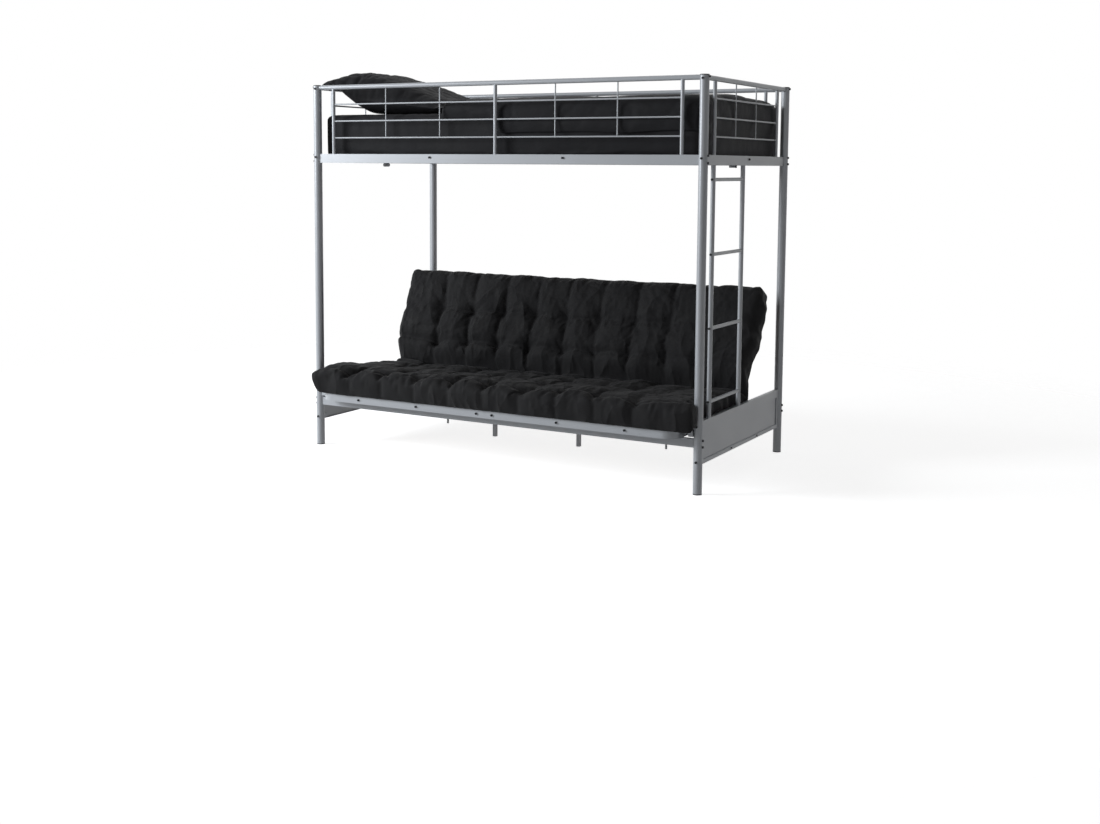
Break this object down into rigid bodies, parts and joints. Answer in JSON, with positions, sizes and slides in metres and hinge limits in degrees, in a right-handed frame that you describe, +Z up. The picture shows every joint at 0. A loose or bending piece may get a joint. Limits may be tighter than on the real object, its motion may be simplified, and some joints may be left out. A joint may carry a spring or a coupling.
{
  "type": "sofa to bunk bed",
  "caption": "Steel bunk bed with a guarded single bunk and end ladder over a tufted futon sofa that slides forward and folds flat into a lower bed.",
  "frame": {"origin": "centre of the object's footprint on the floor", "axes": "+X along the bunk's length to the ladder end, +Y from the sofa's front to its back, +Z up"},
  "size_m": [2.008, 1.107, 1.7773],
  "materials": {
    "silver_steel": "satin silver",
    "bolt_black": "black oxide",
    "black_plastic": "moulded",
    "slat_wood": "bare sprung slats",
    "bed_linen": "smooth black sheets",
    "futon_cotton": "tufted black cotton"
  },
  "bodies": {
    "root": {"post_front_left_leg": "silver_steel", "post_front_left_upper": "silver_steel", "post_front_right_leg": "silver_steel", "post_front_right_upper": "silver_steel", "post_rear_left_leg": "silver_steel", "post_rear_left_upper": "silver_steel", "post_rear_right_leg": "silver_steel", "post_rear_right_upper": "silver_steel", "post_sleeves": "silver_steel", "guard_front_tube": "silver_steel", "guard_front_bars": "silver_steel", "guard_rear_tube": "silver_steel", "guard_rear_bars": "silver_steel", "guard_left_tube": "silver_steel", "guard_left_bars": "silver_steel", "guard_right_tube": "silver_steel", "guard_right_bars": "silver_steel", "upper_rail_front": "silver_steel", "upper_rail_rear": "silver_steel", "upper_rail_left": "silver_steel", "upper_rail_right": "silver_steel", "upper_support_bars": "silver_steel", "ladder_stiles": "silver_steel", "ladder_rungs": "silver_steel", "end_panel_left": "silver_steel", "end_panel_right": "silver_steel", "panel_tube_left": "silver_steel", "panel_tube_right": "silver_steel", "stretcher_front": "silver_steel", "stretcher_rear": "silver_steel", "guide_channels": "silver_steel", "frame_bolts": "bolt_black", "ladder_bolts": "bolt_black", "post_top_caps": "black_plastic", "foot_caps": "black_plastic", "bar_end_caps": "black_plastic", "upper_slats": "slat_wood", "upper_mattress": "bed_linen", "upper_duvet": "bed_linen", "pillow": "bed_linen"},
    "seat_frame": {"seat_front_rail_left": "silver_steel", "seat_front_rail_right": "silver_steel", "seat_side_left": "silver_steel", "seat_side_right": "silver_steel", "seat_rear_rail": "silver_steel", "seat_joint_plates": "silver_steel", "seat_bearers": "silver_steel", "seat_legs": "silver_steel", "seat_bolts": "bolt_black", "seat_glides": "black_plastic", "seat_slats": "slat_wood", "futon_seat": "futon_cotton"},
    "back_frame": {"back_side_left": "silver_steel", "back_side_right": "silver_steel", "back_top_rail": "silver_steel", "back_bottom_rail": "silver_steel", "hinge_pins": "bolt_black", "back_slats": "slat_wood", "futon_back": "futon_cotton"}
  },
  "joints": [
    {"name": "seat_slide", "type": "slide", "parent": "root", "child": "seat_frame", "axis": [0, -1, 0], "range_m": [0, 0.345]},
    {"name": "back_fold", "type": "hinge", "parent": "seat_frame", "child": "back_frame", "pos_m": [0, 0.22325, 0.2525], "axis": [-1, 0, 0], "range_deg": [0, 66]}
  ],
  "couplings": [
    {"joint": "back_fold", "follows": "seat_slide", "rad_per_m": 3.3388}
  ]
}
